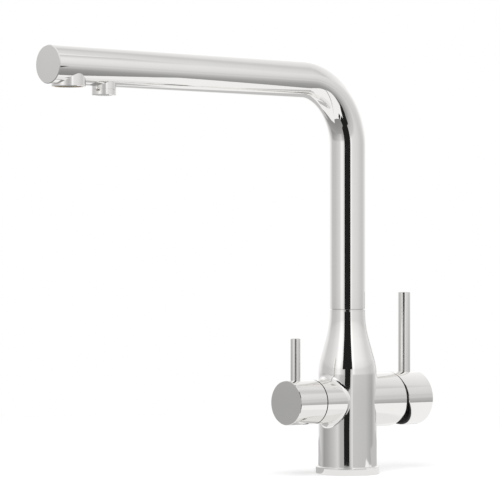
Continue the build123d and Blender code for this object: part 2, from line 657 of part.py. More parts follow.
# ---------------------------------------------------------------- mixer cartridge and lever
CARTRIDGE_R = 17.5
BASE_PLATE = (15.0, 20.0)
PORT_R = 3.0
PORT_SEAL_R = 4.6
PORT_SEAL_SECTION_R = 0.95
HOUSING_START = 16.5
SHOULDER_X = 36.9
CARTRIDGE_NECK_R = 13.0
CARTRIDGE_NECK_END = 46.0
CAVITY_R = 14.5
CAVITY_END = 34.5
FIXED_CERAMIC = (20.0, 23.0)
MOVING_CERAMIC = (23.03, 26.5)
CARRIER = (26.5, 31.0)
CARRIER_R = 11.0
CARRIER_BOSS_END = 38.5
CARRIER_BOSS_HALF_Y = 5.0
CARRIER_BOSS_HALF_Z = 3.8
CARRIAGE_R = 9.5
CARRIAGE = (33.0, 48.0)
STEM_SIDE = 7.0
STEM_END = 66.0
STEM_BALL_R = 2.5
STEM_BALL_ARM = 8.0
PIVOT_PIN_R = 1.5
CARRIAGE_O_RING_X = 41.6


def cartridge_base():
    """Plastic base with two inlets and one outlet, each with a seal pocket."""
    base = along_x(CARTRIDGE_R, CARTRIDGE_SEAT_X + 0.05, HOUSING_START)
    base += along_x(CAVITY_R - SEATED, HOUSING_START, BASE_PLATE[1])
    for y, z in cartridge_ports():
        base -= along_x(PORT_R, CARTRIDGE_SEAT_X, BASE_PLATE[1] + 1, y, z)
        base -= along_x(PORT_SEAL_R, CARTRIDGE_SEAT_X, CARTRIDGE_SEAT_X + 1.95, y, z)
    return base


def cartridge_port_seals():
    """O-rings between the cartridge and its seat in the body."""
    middle_x = CARTRIDGE_SEAT_X + PORT_SEAL_SECTION_R + 0.02
    middle_r = PORT_SEAL_R - PORT_SEAL_SECTION_R - 0.02
    return [o_ring_x(middle_r, PORT_SEAL_SECTION_R, middle_x, y, z) for y, z in cartridge_ports()]


def cartridge_housing():
    """Plastic shell of the 35 mm cartridge."""
    shell = along_x(CARTRIDGE_R, HOUSING_START, SHOULDER_X)
    shell += along_x(CARTRIDGE_NECK_R, SHOULDER_X, CARTRIDGE_NECK_END)
    shell -= along_x(CAVITY_R, HOUSING_START - 1, CAVITY_END)
    return shell - along_x(CARRIAGE_R + RUNNING, CAVITY_END - 1, CARTRIDGE_NECK_END + 1)


def cartridge_fixed_disc():
    """Fixed ceramic disc with the three ports."""
    disc = along_x(CAVITY_R - 0.5, FIXED_CERAMIC[0], FIXED_CERAMIC[1])
    for y, z in cartridge_ports():
        disc -= along_x(PORT_R, FIXED_CERAMIC[0] - 1, FIXED_CERAMIC[1] + 1, y, z)
    return disc


def cartridge_moving_disc():
    """Sliding ceramic disc; the pocket in its face joins the ports when it moves."""
    disc = along_x(CARRIER_R, *MOVING_CERAMIC)
    pocket = block((MOVING_CERAMIC[0] - 1, MOVING_CERAMIC[0] + 2), (-6.0, 6.0), (HANDLE_Z, HANDLE_Z + 8.0))
    return disc - pocket


def cartridge_disc_carrier():
    """Plastic slider that the stem's ball moves; its boss is guided by the carriage."""
    carrier = along_x(CARRIER_R, *CARRIER)
    carrier += block(
        (CARRIER[1], CARRIER_BOSS_END), (-CARRIER_BOSS_HALF_Y, CARRIER_BOSS_HALF_Y),
        (HANDLE_Z - CARRIER_BOSS_HALF_Z, HANDLE_Z + CARRIER_BOSS_HALF_Z),
    )
    return carrier - along_x(STEM_BALL_R + 0.1, 34.0, CARRIER_BOSS_END + 1)


def cartridge_carriage():
    """Turning carriage that holds the tilt pin and guides the disc carrier."""
    carriage = along_x(CARRIAGE_R, *CARRIAGE)
    carriage += along_x(12.0, CARRIAGE[0], CAVITY_END - 0.1)
    guide = CARRIER_BOSS_HALF_Y + RUNNING
    carriage -= block((CARRIAGE[0] - 1, CARRIER_BOSS_END + 1), (-guide, guide), (HANDLE_Z - 7.5, HANDLE_Z + 7.5))
    half = STEM_SIDE / 2 + RUNNING
    carriage -= block((CARRIER_BOSS_END, CARRIAGE[1] + 1), (-half, half), (HANDLE_Z - 6.5, HANDLE_Z + 6.5))
    groove = ring_x(CARRIAGE_R + 1, CARRIAGE_R - 0.9, CARRIAGE_O_RING_X - 0.6, CARRIAGE_O_RING_X + 0.6)
    carriage -= groove
    return carriage - along_y(PIVOT_PIN_R + SEATED, -12, 12, TILT_PIVOT_X)


def cartridge_carriage_o_ring():
    return o_ring_x(CARRIAGE_R - 0.45, 0.43, CARRIAGE_O_RING_X)


def cartridge_pivot_pin():
    """Steel cross pin that the stem tilts on."""
    return along_y(PIVOT_PIN_R, -9.2, 9.2, TILT_PIVOT_X)


def cartridge_stem():
    """Square stem with the ball that slides the disc."""
    half = STEM_SIDE / 2
    stem = block((42.2, STEM_END), (-half, half), (HANDLE_Z - half, HANDLE_Z + half))
    ball_x = TILT_PIVOT_X - STEM_BALL_ARM
    stem += along_x(1.9, ball_x, 42.2)
    stem += Pos(ball_x, 0, HANDLE_Z) * Sphere(STEM_BALL_R)
    return stem - along_y(PIVOT_PIN_R + RUNNING, -12, 12, TILT_PIVOT_X)


def cartridge_nut():
    """Threaded ring that clamps the cartridge, with six key slots."""
    nut = ring_x(NUT_THREAD_R - SEATED, CARTRIDGE_NECK_R + 0.1, SHOULDER_X + 0.02, MIXER_BRANCH_END)
    slot = block((MIXER_BRANCH_END - 2, MIXER_BRANCH_END + 1), (-1.5, 1.5), (12.0, 20.0))
    for turn in range(6):
        nut -= Pos(0, 0, HANDLE_Z) * Rot(60 * turn, 0, 0) * slot
    return nut


DOME_R = 19.3
DOME_THICKNESS = 1.2
DOME_HALF_ANGLE = 60.0     # the dome is open inside this cone round the handle axis


def cartridge_dome():
    """Cover ring, round about the tilt pivot, that stands on the branch and shows in the gap of the hub."""
    inner_r = DOME_R - DOME_THICKNESS

    def on_sphere(radius, x):
        return (x, 0, HANDLE_Z + sqrt(radius ** 2 - (x - TILT_PIVOT_X) ** 2))

    start_x = MIXER_BRANCH_END + SEATED
    open_x = TILT_PIVOT_X + DOME_R * cos(radians(DOME_HALF_ANGLE))
    middle_x = (start_x + open_x) / 2
    outline = [
        Line(on_sphere(inner_r, start_x), on_sphere(DOME_R, start_x)),
        ThreePointArc(*[on_sphere(DOME_R, x) for x in (start_x, middle_x, open_x)]),
        Line(on_sphere(DOME_R, open_x), on_sphere(inner_r, open_x)),
        ThreePointArc(*[on_sphere(inner_r, x) for x in (open_x, middle_x, start_x)]),
    ]
    return revolve(make_face(outline), Axis((0, 0, HANDLE_Z), (1, 0, 0)))


MIXER_CAVITY_R = 19.7
MIXER_CAVITY_END = 59.4
MIXER_BOSS_R = 7.5
MIXER_BOSS_START = 52.0
MIXER_PIN_SEAT = 3.0
MIXER_STUB_R = 3.0
MIXER_STUB = 10.0
RIM_CHAMFER = 0.25


def mixer_hub():
    """Round cap over the cartridge; its lower rim is cut back so that it can tilt."""
    reach = MIXER_R + 2
    rim_top_x = MIXER_HUB_START - RIM_LEAN * reach
    hub = along_x(MIXER_R, rim_top_x, MIXER_HUB_END)
    hub = chamfer(hub.edges().group_by(Axis.X)[-1], 0.3)

    # The rim: everything in front of two planes, the lower one leaning away from the body
    relief_x = MIXER_HUB_START + RIM_LEAN * TILT_RELIEF_DROP
    outline = Polyline(
        (rim_top_x - 1, 0, HANDLE_Z + reach), (rim_top_x, 0, HANDLE_Z + reach),
        (relief_x, 0, HANDLE_Z - TILT_RELIEF_DROP),
        (relief_x + TILT_RELIEF_SLOPE * (reach - TILT_RELIEF_DROP), 0, HANDLE_Z - reach),
        (rim_top_x - 1, 0, HANDLE_Z - reach), close=True,
    )
    hub -= extrude(make_face(outline), 30, dir=(0, 1, 0), both=True)
    rim = [edge for edge in hub.edges() if edge.center().X < MIXER_CAVITY_END]
    hub = chamfer(rim, RIM_CHAMFER)

    cavity = along_x(MIXER_CAVITY_R, rim_top_x - 1, MIXER_CAVITY_END)
    cavity -= along_x(MIXER_BOSS_R, MIXER_BOSS_START, MIXER_CAVITY_END + 1)
    hub -= cavity
    half = STEM_SIDE / 2 + SEATED
    hub -= block((MIXER_BOSS_START - 1, STEM_END + 0.2), (-half, half), (HANDLE_Z - half, HANDLE_Z + half))

    seat_z = HANDLE_Z + MIXER_R - MIXER_PIN_SEAT
    hub -= along_z(MIXER_PIN_R + SEATED, seat_z, seat_z + 10, MIXER_PIN_X)
    hub -= along_z(MIXER_STUB_R + SEATED, seat_z - MIXER_STUB - 0.5, seat_z + 1, MIXER_PIN_X)
    return hub - along_z(GRUB_R + SEATED, HANDLE_Z - MIXER_R - 1, HANDLE_Z - 3, MIXER_GRUB_X)


def mixer_lever_pin():
    return lever_pin(
        MIXER_PIN_X, MIXER_PIN_R, MIXER_R, MIXER_PIN_SEAT, MIXER_PIN_TOP, MIXER_STUB_R, MIXER_STUB
    )


def mixer_grub_screw():
    return grub_screw(GRUB_R, 10.0, MIXER_GRUB_X, HANDLE_Z - STEM_SIDE / 2, 2.5)


# ---------------------------------------------------------------- one file per piece
PIECES = [
    body_casting, base_ring, base_gasket, filter_riser, spout_thrust_washer, spout_retaining_screw,
    spout_tube, spout_end_cap, spout_ferrule, spout_o_rings, spout_bearing_rings,
    filter_coupling, filter_coupling_o_ring, filter_hose,
    mixed_outlet_socket, aerator_housing, aerator_insert, aerator_washer,
    filter_outlet_socket, filter_nozzle, nozzle_insert,
    filter_valve_body, filter_valve_gasket, filter_seat_seal, filter_fixed_disc,
    filter_moving_disc, filter_spindle, filter_spindle_o_rings, filter_spindle_clip,
    filter_spline_bush, filter_hub, filter_lever_pin, filter_grub_screw,
    cartridge_base, cartridge_port_seals, cartridge_housing, cartridge_fixed_disc,
    cartridge_moving_disc, cartridge_disc_carrier, cartridge_carriage, cartridge_carriage_o_ring,
    cartridge_pivot_pin, cartridge_stem, cartridge_nut, cartridge_dome,
    mixer_hub, mixer_lever_pin, mixer_grub_screw,
]

os.makedirs("parts", exist_ok=True)
for make_piece in PIECES:
    piece = make_piece()
    solids = piece if isinstance(piece, list) else [piece]
    shape = Compound(children=solids) if len(solids) > 1 else solids[0]
    export_step(shape, f"parts/{make_piece.__name__}.step")
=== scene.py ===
import math

import bpy
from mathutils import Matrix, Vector

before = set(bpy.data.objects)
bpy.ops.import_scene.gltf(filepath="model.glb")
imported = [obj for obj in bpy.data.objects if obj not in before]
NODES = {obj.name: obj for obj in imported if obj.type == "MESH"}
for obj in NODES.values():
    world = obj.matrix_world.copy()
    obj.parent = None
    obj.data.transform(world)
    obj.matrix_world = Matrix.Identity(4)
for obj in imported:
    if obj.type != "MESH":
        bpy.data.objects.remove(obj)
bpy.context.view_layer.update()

# ---------------------------------------------------------------- the view
VIEW_TURN = math.radians(-42.5)      # the camera's heading about the upright axis
VIEW_DISTANCE = 2.206                # from the tap's axis, along the line of sight
VIEW_ASIDE = -0.0768                 # the tap stands right of the middle of the frame
VIEW_HEIGHT = 0.1646
VIEW_SHIFT = 0.0294
VIEW_REACH = 50.0                    # nothing farther away than this is seen
LENS = 201.66                        # millimetres, as is the sensor's width
SENSOR_WIDTH = 36.0

TOWARDS_VIEW = Vector((math.sin(VIEW_TURN), -math.cos(VIEW_TURN), 0.0))
ACROSS_VIEW = Vector((math.cos(VIEW_TURN), math.sin(VIEW_TURN), 0.0))
VIEW_AZIMUTH = math.atan2(TOWARDS_VIEW.y, TOWARDS_VIEW.x)

# ---------------------------------------------------------------- the tap
HANDLE_HEIGHT = 0.0578               # the handles turn about this line
# The hollow of each hub, where its shade is painted on: its radius, and where along the handles' line
# it starts and ends
MIXER_HOLLOW = (0.0211, 0.0, 0.0597)
FILTER_HOLLOW = (0.0170, -0.066, 0.0)

CHROME_TONE = 0.92                   # how much of a glow the chrome gives back
CHROME_COLOURS = [(0.3, (0.920, 0.908, 0.890, 1.0)), (0.7, (0.934, 0.924, 0.908, 1.0))]
LEVER_DULLED = 0.09                  # the lever pins are this much rougher than the rest
# Painted shade: the hubs' hollows are coloured near black and made dull, standing in for the shade
# inside them.
HOLLOW_PAINTED_SHADE = (0.010, 0.010, 0.011, 1.0)
HOLLOW_PAINTED_SHADE_ROUGHNESS = 0.55           # more than the plating's

# ---------------------------------------------------------------- the stage
WHITE = (1.0, 1.0, 1.0, 1.0)
FLOOR_RADIUS = 1.2
FLOOR_COLOURS = [(0.3, (0.84, 0.84, 0.84, 1.0)), (0.7, (0.86, 0.86, 0.86, 1.0))]
FLOOR_LIFT = 0.30                    # added to the floor that the camera sees
FLOOR_FADE = (0.25, 0.90)            # the floor turns white to the camera between these distances
PLATE_RADIUS = 0.085                 # the white plate under the foot, in mirrors only
PLATE_EDGE = 0.01
PLATE_TONE = 228                     # this and the other tones are display greys

WALL_RADIUS = 1.84                   # the round tent that the chrome mirrors
WALL_FOOT = -0.435
WALL_TOP = 2.10
WALL_MERGE = (-0.02, 0.13)           # the lower tones turn into the upper ones between these heights
# The wall's tone round the tap, as (degrees from the camera, display grey).
UPPER_WALL = [
    (-180, 240), (-142, 232), (-116, 189), (-86, 191), (-70, 201), (-55, 209), (-41, 240),
    (-35, 240), (-26, 216), (-12, 180), (0, 172), (12, 190), (20, 243), (25, 236), (30, 220),
    (63, 212), (98, 194), (117, 199), (148, 232), (180, 240),
]
LOWER_WALL = [
    (-180, 252), (-142, 208), (-123, 191), (-108, 154), (-85, 168), (-57, 193), (-40, 212),
    (-29, 178), (0, 168), (12, 200), (16, 227), (20, 195), (74, 189), (95, 172), (108, 163),
    (132, 199), (160, 222), (180, 252),
]
# How much brighter or darker the wall is up its height, in metres.
WALL_HEIGHTS = [
    (-0.435, 0.74), (-0.30, 0.84), (-0.10, 1.0), (0.36, 1.0), (0.50, 1.12), (0.90, 1.24),
    (1.40, 1.32), (1.75, 1.16), (2.10, 1.0),
]
# The tent floor's tone by its distance from the tap's axis, as (metres, display grey).
TENT_FLOOR_TONES = [(0.0, 133), (0.7, 136), (1.0, 143), (1.45, 152), (WALL_RADIUS, 158)]

ROOF_HEIGHT = 0.90
# Corners of level cards are (towards the camera, to the camera's right) of the tap's axis.
ROOF = [(-1.8, -0.6), (0.05, -0.6), (0.05, 1.4), (-1.8, 1.4)]
# The roof's tone, from its back edge to the front, as (metres towards the camera, display grey).
ROOF_TONES = [
    (-1.8, 244), (-1.0, 238), (-0.61, 229), (-0.34, 219), (-0.26, 206), (-0.20, 200),
    (-0.16, 203), (-0.124, 208), (-0.065, 213), (0.05, 219),
]

# Black cards stand upright in front of the tap, square to the view: two for the body, below and
# above the filter branch, and a broader one for the riser. Their outlines are shaped so that the
# chrome mirrors them as one dark strip in this view. Each is (height, left edge, right edge), in
# metres from the tap's axis.
BLACK_TONE = 33
CARD_DISTANCE = 0.25
FOOT_CARD = [(-0.0092, -0.0675, 0.0238), (0.0240, -0.0650, 0.0250), (0.0410, -0.0587, 0.0320)]
BODY_CARD = [
    (0.0563, -0.0160, 0.0030), (0.0571, -0.0330, 0.0240), (0.0583, -0.0460, 0.0360),
    (0.0600, -0.0502, 0.0404), (0.1250, -0.0510, 0.0415),
]
RISER_CARD = [(0.1245, -0.0955, 0.0755), (0.2700, -0.0955, 0.0755)]
# A black card on the tent's floor carries the strip on round the inside of the bend.
FLOOR_CARD = [
    (1.47, -0.32), (1.21, -0.14), (1.07, 0.07), (0.91, 0.19), (0.80, 0.32), (0.72, 0.46),
    (0.69, 0.58), (0.71, 0.86), (0.52, 1.09), (0.56, 1.13), (0.64, 1.06), (0.75, 0.99),
    (0.88, 0.93), (1.00, 0.85), (1.15, 0.77), (1.36, 0.765), (1.69, 0.85),
]
CARD_LIFT = 0.002                    # what lies on the tent's floor is this far above what is under it

# Pale cards: a table under the tap, a darker one behind it, a patch on the tent's floor, and a
# shade beside the foot.
PALE_TONE = 238
FLOOR_PATCH = [
    (0.276, -0.50), (0.334, -0.443), (0.714, -0.117), (1.05, 0.10), (1.27, 0.30), (1.00, 0.45),
    (0.80, 0.59), (0.64, 0.72), (0.56, 0.88), (0.42, 1.15), (0.276, 1.15),
]
TABLE_HEIGHT = -0.018
TABLE = [
    (-0.02, -0.31), (0.125, -0.31), (0.125, 0.45), (0.07, 0.43), (-0.04, 0.37), (-0.09, 0.37),
    (-0.09, 0.14), (-0.25, 0.14), (-0.25, -0.2),
]
BACK_TABLE_TONE = 188
BACK_TABLE = [(-0.09, 0.14), (-0.09, 0.6), (-0.7, 0.6), (-0.7, -0.4), (-0.25, -0.4), (-0.25, 0.14)]
SHADE_TONE = 182
SHADE_HEIGHT = 0.0006
SHADE = [(-0.16, -0.09), (0.01, -0.09), (0.01, -0.026), (-0.16, -0.026)]

# ---------------------------------------------------------------- the light
WORLD_LIGHT = 0.62                   # the world's strength on matt surfaces, and in mirrors
WORLD_MIRRORED = 0.86
LAMP_AIM = (0.0, 0.0, 0.12)
LAMP_SIZE = 1.6
KEY_PLACE, KEY_WATTS = (-1.6, -1.2, 2.2), 30.0
FILL_PLACE, FILL_WATTS = (1.8, -1.0, 1.6), 12.0


def linear(grey):
    """The linear value of a display grey of 0 to 255."""
    c = grey / 255.0
    return c / 12.92 if c <= 0.04045 else ((c + 0.055) / 1.055) ** 2.4


def shown(grey):
    """The glow that chrome mirrors as this display grey."""
    return linear(grey) / CHROME_TONE


# ---------------------------------------------------------------- node helpers
def new_tree(name):
    mat = bpy.data.materials.new(name)
    mat.use_nodes = True
    mat.node_tree.nodes.clear()
    return mat, mat.node_tree


def add(tree, kind, values=None, **settings):
    """A node with its settings, and its input values by socket name or number."""
    n = tree.nodes.new(kind)
    for key, value in settings.items():
        setattr(n, key, value)
    for key, value in (values or {}).items():
        n.inputs[key].default_value = value
    return n


def link(tree, out, into):
    tree.links.new(out, into)


def feed(tree, value, socket):
    """Set an input to a plain value, or link it to another node's output."""
    if isinstance(value, (int, float, tuple)):
        socket.default_value = value
    else:
        link(tree, value, socket)


def mapped(tree, out, low, high, to_low, to_high):
    n = add(tree, "ShaderNodeMapRange", {1: low, 2: high, 3: to_low, 4: to_high})
    link(tree, out, n.inputs[0])
    return n.outputs[0]


def maths(tree, operation, a, b):
    n = add(tree, "ShaderNodeMath", operation=operation)
    feed(tree, a, n.inputs[0])
    feed(tree, b, n.inputs[1])
    return n.outputs[0]


def mixed(tree, factor, a, b, blend="MIX"):
    n = add(tree, "ShaderNodeMix", data_type="RGBA", blend_type=blend)
    for socket, value in zip((n.inputs[0], n.inputs[6], n.inputs[7]), (factor, a, b)):
        feed(tree, value, socket)
    return n.outputs[2]


def scaled(tree, vector, factors):
    """A vector with each of its parts multiplied."""
    n = add(tree, "ShaderNodeVectorMath", {1: factors}, operation="MULTIPLY")
    link(tree, vector, n.inputs[0])
    return n.outputs[0]


def length_of(tree, vector):
    n = add(tree, "ShaderNodeVectorMath", operation="LENGTH")
    link(tree, vector, n.inputs[0])
    return n.outputs["Value"]


def split(tree, vector):
    """The x, y and z outputs of a vector."""
    n = add(tree, "ShaderNodeSeparateXYZ")
    link(tree, vector, n.inputs[0])
    return n.outputs


def ramp(tree, out, stops):
    """A ramp from (position, colour or grey value) stops."""
    n = add(tree, "ShaderNodeValToRGB")
    elements = n.color_ramp.elements
    while len(elements) > 1:
        elements.remove(elements[-1])
    for i, (position, value) in enumerate(stops):
        e = elements[0] if i == 0 else elements.new(position)
        e.position = position
        e.color = value if isinstance(value, tuple) else (value, value, value, 1.0)
    link(tree, out, n.inputs[0])
    return n.outputs[0]


def noise(tree, coordinates, scale, detail=2.0, roughness=0.5, stretch=None):
    if stretch:
        m = add(tree, "ShaderNodeMapping", {"Scale": stretch})
        link(tree, coordinates, m.inputs[0])
        coordinates = m.outputs[0]
    n = add(tree, "ShaderNodeTexNoise", {"Scale": scale, "Detail": detail, "Roughness": roughness})
    link(tree, coordinates, n.inputs["Vector"])
    return n.outputs[0]


def bumped(tree, height, distance):
    n = add(tree, "ShaderNodeBump", {"Strength": 1.0, "Distance": distance})
    link(tree, height, n.inputs["Height"])
    return n.outputs[0]


def surface(tree, **values):
    """The Principled shader on the output. Names use _ for a space."""
    shader = add(tree, "ShaderNodeBsdfPrincipled")
    link(tree, shader.outputs[0], add(tree, "ShaderNodeOutputMaterial").inputs[0])
    for key, value in values.items():
        feed(tree, value, shader.inputs[key.replace("_", " ")])


def glowing(tree, tone, strength=1.0):
    """A glow on the output, of one colour or of a node's."""
    light = add(tree, "ShaderNodeEmission", {"Strength": strength})
    feed(tree, tone, light.inputs[0])
    link(tree, light.outputs[0], add(tree, "ShaderNodeOutputMaterial").inputs[0])


def blended(tree, factor, a, b):
    """A mix of two shaders."""
    n = add(tree, "ShaderNodeMixShader")
    for socket, out in zip(n.inputs, (factor, a, b)):
        link(tree, out, socket)
    return n.outputs[0]


def on_object(tree):
    return add(tree, "ShaderNodeTexCoord").outputs["Object"]


# ---------------------------------------------------------------- the tap's materials
def chrome_parts(tree, dulled):
    """The colour, roughness and surface of plated brass: almost a mirror, with soft uneven polish."""
    at = on_object(tree)
    cloud = noise(tree, at, 26.0, 3.0)
    haze = noise(tree, at, 420.0, 4.0, 0.6)
    tone = ramp(tree, cloud, CHROME_COLOURS)
    polish = maths(tree, "ADD", mapped(tree, cloud, 0.3, 0.7, dulled + 0.022, dulled + 0.040),
                   mapped(tree, haze, 0.35, 0.75, 0.0, 0.016))
    return tone, polish, bumped(tree, noise(tree, at, 30.0, 1.0), 0.00002)


def chrome(name="polished_chrome", dulled=0.0):
    """Bright plated brass, a little uneven in its polish."""
    mat, tree = new_tree(name)
    tone, polish, normal = chrome_parts(tree, dulled)
    surface(tree, Base_Color=tone, Metallic=1.0, Roughness=polish, Normal=normal)
    return mat


def hub_chrome(name, hollow):
    """Plated outside. The hollow of the hub is painted near black and dull, as painted shade for the
    shade inside it.
    """
    mat, tree = new_tree(name)
    bore, start, end = hollow
    tone, polish, normal = chrome_parts(tree, 0.0)
    along = split(tree, on_object(tree))[0]
    from_line = add(tree, "ShaderNodeVectorMath", {1: (0.0, 0.0, -HANDLE_HEIGHT)}, operation="ADD")
    link(tree, on_object(tree), from_line.inputs[0])
    distance = length_of(tree, scaled(tree, from_line.outputs[0], (0.0, 1.0, 1.0)))
    within = maths(tree, "MULTIPLY", maths(tree, "GREATER_THAN", along, start),
                   maths(tree, "LESS_THAN", along, end))
    # Painted shade: inside the hollow the chrome turns into a near black, dull surface that is not
    # metal.
    painted_shade_mask = maths(tree, "MULTIPLY", maths(tree, "LESS_THAN", distance, bore), within)
    rougher = mapped(tree, painted_shade_mask, 0.0, 1.0, 0.0, HOLLOW_PAINTED_SHADE_ROUGHNESS)
    surface(tree, Base_Color=mixed(tree, painted_shade_mask, tone, HOLLOW_PAINTED_SHADE),
            Metallic=maths(tree, "SUBTRACT", 1.0, painted_shade_mask),
            Roughness=maths(tree, "ADD", polish, rougher),
            Normal=normal)
    return mat


def brass():
    """Turned brass: yellow, a little dulled, with fine tool marks."""
    mat, tree = new_tree("turned_brass")
    at = on_object(tree)
    dull = noise(tree, at, 90.0, 4.0, 0.6)
    marks = noise(tree, at, 700.0, 2.0, 0.5, (1.0, 1.0, 6.0))
    tone = ramp(tree, dull, [(0.3, (0.62, 0.43, 0.17, 1.0)), (0.7, (0.80, 0.60, 0.29, 1.0))])
    surface(tree, Base_Color=tone, Metallic=1.0,
            Roughness=mapped(tree, dull, 0.3, 0.7, 0.32, 0.20),
            Normal=bumped(tree, marks, 0.00003))
    return mat


def steel():
    """Brushed stainless steel of the small screws, pins and the clip."""
    mat, tree = new_tree("stainless_steel")
    at = on_object(tree)
    grain = noise(tree, at, 900.0, 3.0, 0.6, (1.0, 1.0, 0.15))
    tone = ramp(tree, grain, [(0.3, (0.46, 0.46, 0.47, 1.0)), (0.7, (0.64, 0.64, 0.64, 1.0))])
    surface(tree, Base_Color=tone, Metallic=1.0,
            Roughness=mapped(tree, grain, 0.3, 0.7, 0.24, 0.38),
            Normal=bumped(tree, grain, 0.00002))
    return mat


def rubber():
    """Black moulded rubber, with a faint bloom."""
    mat, tree = new_tree("black_rubber")
    at = on_object(tree)
    bloom = noise(tree, at, 160.0, 4.0, 0.6)
    pores = noise(tree, at, 1800.0, 2.0)
    tone = ramp(tree, bloom, [(0.35, (0.012, 0.012, 0.013, 1.0)), (0.75, (0.034, 0.034, 0.035, 1.0))])
    surface(tree, Base_Color=tone, Roughness=mapped(tree, bloom, 0.3, 0.7, 0.50, 0.68),
            Normal=bumped(tree, pores, 0.00002))
    return mat


def fibre():
    """Pressed red-brown gasket fibre."""
    mat, tree = new_tree("gasket_fibre")
    at = on_object(tree)
    strands = noise(tree, at, 600.0, 5.0, 0.7, (1.0, 0.25, 1.0))
    tone = ramp(tree, strands, [(0.3, (0.16, 0.045, 0.025, 1.0)), (0.7, (0.36, 0.13, 0.07, 1.0))])
    surface(tree, Base_Color=tone, Roughness=mapped(tree, strands, 0.3, 0.7, 0.75, 0.9),
            Normal=bumped(tree, strands, 0.00005))
    return mat


def ceramic():
    """Lapped alumina of the valve discs."""
    mat, tree = new_tree("alumina_ceramic")
    at = on_object(tree)
    body = noise(tree, at, 240.0, 3.0)
    tone = ramp(tree, body, [(0.3, (0.80, 0.79, 0.75, 1.0)), (0.7, (0.88, 0.875, 0.85, 1.0))])
    surface(tree, Base_Color=tone, Roughness=mapped(tree, body, 0.3, 0.7, 0.12, 0.22),
            Normal=bumped(tree, body, 0.00001))
    return mat


def plastic(name, dark, light, rough):
    """Moulded engineering plastic: a fine even grain and slightly clouded colour."""
    mat, tree = new_tree(name)
    at = on_object(tree)
    cloud = noise(tree, at, 60.0, 3.0)
    grain = noise(tree, at, 1500.0, 2.0)
    tone = ramp(tree, cloud, [(0.3, (*dark, 1.0)), (0.7, (*light, 1.0))])
    surface(tree, Base_Color=tone, Roughness=mapped(tree, grain, 0.3, 0.7, rough, rough + 0.12),
            Normal=bumped(tree, grain, 0.00002))
    return mat


def dress_nodes():
    """Give each node the material of its slot, or one of its own."""
    by_slot = {
        "chrome": chrome(),
        "brass": brass(),
        "steel": steel(),
        "rubber": rubber(),
        "fibre": fibre(),
        "ceramic": ceramic(),
        "white_plastic": plastic("white_plastic", (0.72, 0.72, 0.70), (0.80, 0.80, 0.78), 0.32),
        "grey_plastic": plastic("grey_plastic", (0.20, 0.205, 0.21), (0.26, 0.265, 0.27), 0.34),
    }
    lever_chrome = chrome("lever_chrome", LEVER_DULLED)
    by_node = {
        "mixer_hub": hub_chrome("mixer_hub_chrome", MIXER_HOLLOW),
        "filter_hub": hub_chrome("filter_hub_chrome", FILTER_HOLLOW),
        "mixer_lever_pin": lever_chrome,
        "filter_lever_pin": lever_chrome,
    }
    for name, obj in NODES.items():
        for slot in obj.material_slots:
            slot.material = by_node.get(name) or by_slot[slot.material.name.split(".")[0]]


# ---------------------------------------------------------------- the stage's surfaces
def new_object(name, points, faces, material):
    mesh = bpy.data.meshes.new(name)
    mesh.from_pydata(points, [], faces)
    mesh.materials.append(material)
    obj = bpy.data.objects.new(name, mesh)
    bpy.context.collection.objects.link(obj)
    return obj


def only_mirrored(obj):
    """A card that only mirrors see."""
    obj.visible_camera = False
    obj.visible_diffuse = False
    obj.visible_shadow = False
    obj.visible_transmission = False
    obj.visible_volume_scatter = False


def round_wall(name, radius, low, high, material, steps=96):
    """An upright wall all round the tap's axis, which only mirrors see."""
    points, faces = [], []
    for i in range(steps + 1):
        angle = VIEW_AZIMUTH + math.radians(-180 + 360 * i / steps)
        x, y = radius * math.cos(angle), radius * math.sin(angle)
        points += [(x, y, low), (x, y, high)]
        if i:
            faces.append((2 * i - 2, 2 * i, 2 * i + 1, 2 * i - 1))
    only_mirrored(new_object(name, points, faces, material))


def flat_disc(name, radius, height, material, steps=128):
    turns = [2 * math.pi * i / steps for i in range(steps)]
    points = [(radius * math.cos(turn), radius * math.sin(turn), height) for turn in turns]
    return new_object(name, points, [tuple(range(steps))], material)


def flat_card(name, corners, height, material):
    """A level card that only mirrors see."""
    points = [TOWARDS_VIEW * t + ACROSS_VIEW * r + Vector((0.0, 0.0, height)) for t, r in corners]
    only_mirrored(new_object(name, points, [tuple(range(len(points)))], material))


def upright_card(name, outline, material):
    """A card square to the view, from an outline of (height, left edge, right edge)."""
    edge = [(left, z) for z, left, right in outline]
    edge += [(right, z) for z, left, right in reversed(outline)]
    points = [TOWARDS_VIEW * CARD_DISTANCE + ACROSS_VIEW * r + Vector((0.0, 0.0, z)) for r, z in edge]
    last = len(points) - 1
    faces = [(i, i + 1, last - i - 1, last - i) for i in range(len(outline) - 1)]
    only_mirrored(new_object(name, points, faces, material))


# ---------------------------------------------------------------- the stage's materials
def turned_place(tree):
    """The place on a stage surface, turned so that x runs towards the camera."""
    place = add(tree, "ShaderNodeNewGeometry").outputs["Position"]
    turned = add(tree, "ShaderNodeVectorRotate", {"Angle": -VIEW_AZIMUTH}, rotation_type="Z_AXIS")
    link(tree, place, turned.inputs["Vector"])
    return turned.outputs[0]


def glow(name, value):
    mat, tree = new_tree(name)
    glowing(tree, (value, value, value, 1.0))
    return mat


def tone_along(tree, out, stops):
    """A mirrored tone that changes with a distance: (metres, display grey)."""
    low, high = stops[0][0], stops[-1][0]
    return ramp(tree, mapped(tree, out, low, high, 0.0, 1.0),
                [((place - low) / (high - low), shown(grey)) for place, grey in stops])


